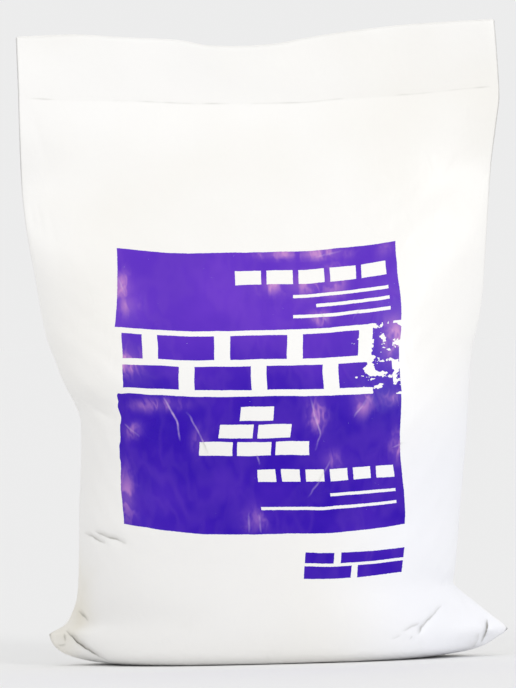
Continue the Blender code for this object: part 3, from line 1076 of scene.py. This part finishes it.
class Print:
    """Shapes on the print, placed by hundredths of its width across and by millimetres up the flat sheet."""

    def __init__(self, u, v):
        drift = v.step(*DRIFT_STARTS) * WAIST_DRIFT + v.step(*DRIFT_ENDS) * DRIFT_BACK
        share = (u - drift - PRINT_MIDDLE) / (v.step(*WIDER_FROM) * WAIST_WIDER + PRINT_HALF)
        square = share * share
        sag = square * square * v.step(*SAG_FROM) * SIDE_SAG
        self.share = share
        self.across = share * 50.0 + 50.0
        self.up = (v + sag - share * RISE) * 1000

    def leaning(self, drop):
        """The same places, with the level lines dropping by this much more towards the right edge."""
        leaning = copy.copy(self)
        leaning.up = self.up + self.share * drop
        return leaning

    def patch(self, left, low, width, height):
        across = self.across.between(left, left + width, EDGE_SOFT / HUNDREDTH)
        return across.both(self.up.between(low, low + height, EDGE_SOFT))

    def bricks(self, left, low, width, height, count, gap):
        """A row of bricks with even gaps."""
        each = (width - gap * (count - 1)) / count
        return together(self.patch(left + i * (each + gap), low, each, height) for i in range(count))

    def rows(self, table, base):
        return together(self.bricks(left, base + up, *size) for left, up, *size in table)


def together(shapes):
    return functools.reduce(Field.either, shapes)


def pattern(sheet):
    """Where there is ink: the blocks less their bare bricks and lines, and bricks on the bare film."""
    low, high = LOWER_BLOCK[0] * 1000, UPPER_BLOCK[1] * 1000
    lower = sheet.patch(0, low, 100, STRIP_LOW - low)
    upper = sheet.patch(0, STRIP_HIGH, 100, high - STRIP_HIGH)
    tables = ((UPPER_ROWS, STRIP_HIGH), (STACK_ROWS, STACK_BASE), (LOWER_ROWS, low))
    bare = together(sheet.rows(*table) for table in tables)
    mark = sheet.leaning(MARK_LEAN).rows(MARK_ROWS, 0)
    return together([lower.either(upper) - bare, sheet.rows(COURSES, STRIP_LOW), mark])


def ragged(sheet, place):
    """Where the ink is rubbed off: in splinters at the right end of the strip, and in a few pinholes."""
    near_end = sheet.across.between(86, 93, 6.0).both(sheet.up.between(STRIP_LOW + 4, STRIP_HIGH - 3, 4.0))
    splinters = noise(place, 95, 3.0, 0.56, (1.0, 1.5, 1.0), (0, 0, 0.5)) + near_end * 0.130
    pinholes = noise(place, 800, 2.0, 0.5).step(0.77, 0.80) * 0.6
    return (splinters.step(0.622, 0.634).both(near_end.step(0.0, 0.1))).either(pinholes)


def spatter(sheet, place):
    """Blots of ink on the bare film at the right end of the strip."""
    near_end = sheet.across.between(90, 100, 2.0).both(sheet.up.between(STRIP_LOW - 1, STRIP_HIGH + 1, 1.0))
    blots = noise(place, 80, 4.0, 0.6, (1.0, 1.2, 1.0), (0, 0, -0.4))
    return blots.step(0.462, 0.474).both(near_end.step(0.3, 0.5))


def creased(place, scale, stretch, turn):
    """Sharp, branching ridges such as film takes when it is crumpled: 1 on the ridge."""
    return (noise(place, scale, 3.0, 0.55, stretch, turn) - 0.5).size().step(0.055, 0.0)


# Half the width of a crease's sharp line, how far its shade reaches down, how far apart the welds' ribs are,
# where the foot weld lies on the sheet, and the bumps' heights.
LINE_HALF = 0.0010
SHADE_FOOT = -0.0007
RIB_PITCH = 0.0011
FOOT_WELD = (0.0065, 0.0105)
SOFT_WAVES = 0.0012
CRUMPLE_HEIGHT = 0.00007
LINE_DEPTH = 0.0004
RIB_HEIGHT = 0.00020
GRAIN_HEIGHT = 0.00003


def sharp_lines(place):
    """The sharp lines in the narrow creases' bottoms and the shade beside them, both wavering a little. Both
    are painted shade on the bare film; on the ink the lines are painted glints.
    """
    gap, strength, reach = parts_of(attribute(place, "crease_line").outputs["Vector"])
    away = gap + (noise(place, 95, 2.0) - 0.5) * 0.0026
    broken = noise(place, 150, 1.0).step(0.28, 0.60) * 0.65 + 0.35
    shade = (away / reach).step(1.0, 0.0).both(away.step(SHADE_FOOT, 0.0))
    return away.size().step(LINE_HALF, 0.0) * strength * broken, shade * strength


def wavering(place, u, v):
    """How far the print's edges stray: a little all round, and more along the crumpled lower left edge."""
    slow = (noise(place, 40, 2.0) - 0.5) * 0.0020
    fine = (noise(place, 700, 1.0) - 0.5) * 0.0004
    crumpled = u.step(-0.070, -0.098).both(v.between(LOWER_BLOCK[0] + 0.02, LOWER_BLOCK[1], 0.02))
    return slow + fine + (noise(place, 75, 1.5) - 0.5) * crumpled * 0.0090, fine - slow * 0.8


def ink_colour(place, v, line, crumple):
    """The ink: paler in the upper block as a painted reflection, and cloudy; pinkish painted highlights where
    the film's crumples catch the light, and painted glints along the crease lines.
    """
    # Painted reflection: paler towards the upper block, with random clouds.
    reflected_and_cloudy = v.step(0.225, 0.300) * 0.62 + noise(place, 22, 3.0).step(0.35, 0.75) * 0.25
    colour = mix(reflected_and_cloudy, INK, INK_CLOUDY_AND_REFLECTED)
    facets = noise(place, 75, 3.0, 0.55, (1.0, 0.55, 1.0), (0, 0, 0.6)).step(0.46, 0.58)
    ridges = (noise(place, 45, 3.0, 0.6, (1.0, 0.5, 1.0), (0, 0, 0.5)) - 0.5).size().step(0.035, 0.0)
    # Painted highlight: the sheen patches and the crumples' ridges turn pinkish.
    painted_sheen = Field(attribute(place, "sheen").outputs["Fac"]) * (facets * 0.62 + ridges * 0.42 + 0.26)
    colour = mix(painted_sheen + crumple * 0.035, colour, INK_PAINTED_SHEEN)
    # Painted glint: the crease lines turn pale on the ink.
    return mix((line * 1.3).both(0.9), colour, INK_GLINT)


def bare_colour(place, sheet_point, u, v, line, shade):
    """The bare film: greyer where the cement lies behind it, and with painted shade more so on the left;
    lighter and cooler low on the right as painted light; dusty at the foot, with a grey line along the head
    weld, a darker, yellower tint on the left ear and painted shade in the creases.
    """
    colour = mix(noise(place, 7, 2.0).step(0.35, 0.75) * 0.5, FILM_WHITE, FILM_CREAM)
    # Partly painted shade: greyer over the cement, most on the left.
    cement_and_painted_shade = v.step(0.330, 0.160) * (u.step(0.110, -0.060) * 0.75 + 0.20)
    colour = mix(cement_and_painted_shade, colour, FILM_OVER_CEMENT_AND_SHADE)
    # Painted light: lighter and cooler low on the right.
    painted_light_cooler = v.step(0.280, 0.160) * u.step(0.020, 0.105) * u.step(0.165, 0.155) * 0.85
    colour = mix(painted_light_cooler, colour, FILM_PAINTED_LIGHT_COOL)
    dust = noise(place, 26, 5.0, 0.6).step(0.56, 0.78) * v.step(0.11, 0.015) * 0.28
    colour = mix(dust.either(weld_line(u, v, sheet_point)), colour, DUST_AND_WELD_GREY)
    left_ear_tint = u.step(-0.118, -0.150).both(v.step(0.105, 0.050)) * (noise(place, 45, 3.0) * 0.7 + 0.2)
    colour = mix(left_ear_tint, colour, LEFT_EAR_TINT)
    # Painted shade: the creases' lines and the shade beside them darken the bare film.
    return mix(line * 0.55 + shade * 0.50, colour, CREASE_PAINTED_SHADE)


def film_material():
    material, shader = new_material("white_film")
    place = object_place(shader)
    sheet_point = sheet_place(shader)
    u, v, _ = parts_of(sheet_point)
    stray_u, stray_v = wavering(sheet_point, u, v)
    sheet = Print(u + stray_u, v + stray_v)
    worn = ragged(sheet, sheet_point)
    ink = (pattern(sheet).either(spatter(sheet, sheet_point)) - worn).step(0.25, 0.75)

    line, shade = sharp_lines(sheet_point)
    crumple = creased(sheet_point, 20, (1.0, 0.55, 1.0), (0, 0, 0.7))
    crumple = crumple.either(creased(sheet_point, 28, (1.0, 0.5, 1.0), (0, 0, -0.9)) * 0.8)
    bare = bare_colour(place, sheet_point, u, v, line, shade)
    printed = ink_colour(sheet_point, v, line, crumple)
    feed(mix(ink, bare, printed), shader.inputs["Base Color"])

    weld = weld_ribs(v, FLAT_BODY, FLAT_BODY + FLAT_WELD).either(weld_ribs(v, *FOOT_WELD))
    normal = bumped(noise(place, 18, 3.0, 0.5), SOFT_WAVES)
    normal = bumped(crumple, CRUMPLE_HEIGHT, Normal=normal)
    normal = bumped(line * -1.0, LINE_DEPTH, Normal=normal)
    normal = bumped(weld, RIB_HEIGHT, Normal=normal)
    normal = bumped(noise(sheet_point, 620, 2.0, 0.5), GRAIN_HEIGHT, Normal=normal)
    feed(normal, shader.inputs["Normal"])

    rough = noise(place, 30, 3.0).step(0.2, 0.8) * 0.10 + 0.36
    feed(rough - ink * 0.10 + worn * 0.1, shader.inputs["Roughness"])
    feed(ink * -0.36 + 0.5, shader.inputs["Specular IOR Level"])
    return material


def weld_line(u, v, place):
    """The thin grey line along the foot side of the head weld, stronger in some stretches."""
    line = v.between(FLAT_BODY - 0.0006, FLAT_BODY + 0.0004, 0.0004) * u.size().step(0.156, 0.146)
    return line * (noise(place, 22, 2.0, 0.5, (1.0, 0.1, 1.0)).step(0.46, 0.62) * 0.50 + 0.04)


def weld_ribs(v, low, high):
    """A pressed weld: a band of fine lines between two grooves."""
    band = v.between(low, high, 0.0004)
    lines = (v * (2 * math.pi / RIB_PITCH)).math("SINE") * 0.5 + 0.5
    return (band * lines * 0.5) - band * 0.8


def cement_material():
    material, shader = new_material("cement")
    place = object_place(shader)
    clumps = noise(place, 90, 5.0, 0.6)
    grains = noise(place, 1500, 3.0, 0.6)
    colour = mix(clumps.step(0.3, 0.75), POWDER_DARK, POWDER_LIGHT)
    colour = mix(grains.step(0.45, 0.75) * 0.35, colour, POWDER_GRAIN)
    feed(colour, shader.inputs["Base Color"])
    normal = bumped(clumps, 0.0020)
    normal = bumped(grains, 0.0003, Normal=normal)
    feed(normal, shader.inputs["Normal"])
    shader.inputs["Roughness"].default_value = 0.95
    shader.inputs["Specular IOR Level"].default_value = 0.25
    return material


film = make_film(*film_faces())
cement = make_cement()
film.data.materials.append(film_material())
cement.data.materials.append(cement_material())
for piece, node, finish in ((film, "film_sack", "white_film"), (cement, "cement_fill", "cement")):
    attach(piece, "root")
    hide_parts(node)


def aim(obj, place, target, roll=0.0):
    obj.location = place
    direction = Vector(target) - Vector(place)
    turn = direction.to_track_quat("-Z", "Y").to_matrix() @ Matrix.Rotation(roll, 3, "Z")
    obj.rotation_euler = turn.to_euler()


def far_light(name, place, target, softness, strength):
    """A light that falls evenly from the place towards the target. Gives back how much reaches the floor."""
    data = bpy.data.lights.new(name, "SUN")
    data.angle = math.radians(softness)
    data.energy = strength
    aim(add_object(name, data), place, target)
    return (Vector(place) - Vector(target)).normalized().z * strength


# The floor, how bright the light is all round and how much more overhead, and the two lights: the place, the
# target, the softness in degrees and the strength.
FLOOR_WHITE = 0.86
FLOOR_REACH = 60.0
FLOOR_BELOW = 0.0004
HORIZON = 0.77
ZENITH = 0.18
LIGHTS = (
    ("key", (1.9, -2.4, 1.5), (0, 0, 0.2), 16, 0.54),
    ("fill", (-2.3, -2.6, 1.7), (0, 0, 0.3), 20, 0.19),
)


def make_floor():
    """A plain pale floor, far wider than any view, so that its edge melts into the background."""
    corners = np.array([(-1, -1, 0), (1, -1, 0), (1, 1, 0), (-1, 1, 0)]) * FLOOR_REACH
    floor = add_mesh("floor", corners, [[0, 1, 2, 3]])
    floor.location.z = -FLOOR_BELOW
    material, shader = new_material("floor")
    shader.inputs["Base Color"].default_value = (FLOOR_WHITE, FLOOR_WHITE, FLOOR_WHITE, 1)
    shader.inputs["Roughness"].default_value = 1.0
    shader.inputs["Specular IOR Level"].default_value = 0.0
    floor.data.materials.append(material)


def make_daylight(on_floor):
    """White light from all round, more from above. The camera sees it as bright as the far floor."""
    world = bpy.data.worlds.new("studio")
    bpy.context.scene.world = world
    world.use_nodes = True
    colour, strength = world.node_tree.nodes["Background"].inputs[:2]
    seen = Field(node_beside(colour, "LightPath").outputs["Is Camera Ray"])
    upward = parts_of(node_beside(colour, "TexCoord").outputs["Generated"])[2]
    sky = upward.either(0.0) * ZENITH + HORIZON
    far_floor = (HORIZON + ZENITH * 2 / 3 + on_floor / math.pi) * FLOOR_WHITE
    feed((1.0, 1.0, 1.0), colour)
    feed(sky * seen.inverse() + seen * far_floor, strength)


make_floor()
make_daylight(sum(far_light(*light) for light in LIGHTS))
bpy.context.scene.view_settings.view_transform = "Standard"

camera_data = bpy.data.cameras.new("camera")
camera = add_object("camera", camera_data)
bpy.context.scene.camera = camera
camera_data.sensor_width = 36
camera_data.lens = camera_data.sensor_width * CAMERA_DISTANCE / FRAME_HEIGHT
away = (0, -math.cos(CAMERA_ELEVATION), math.sin(CAMERA_ELEVATION))
aim(camera, [a + CAMERA_DISTANCE * b for a, b in zip(CAMERA_AIM, away)], CAMERA_AIM, CAMERA_ROLL)
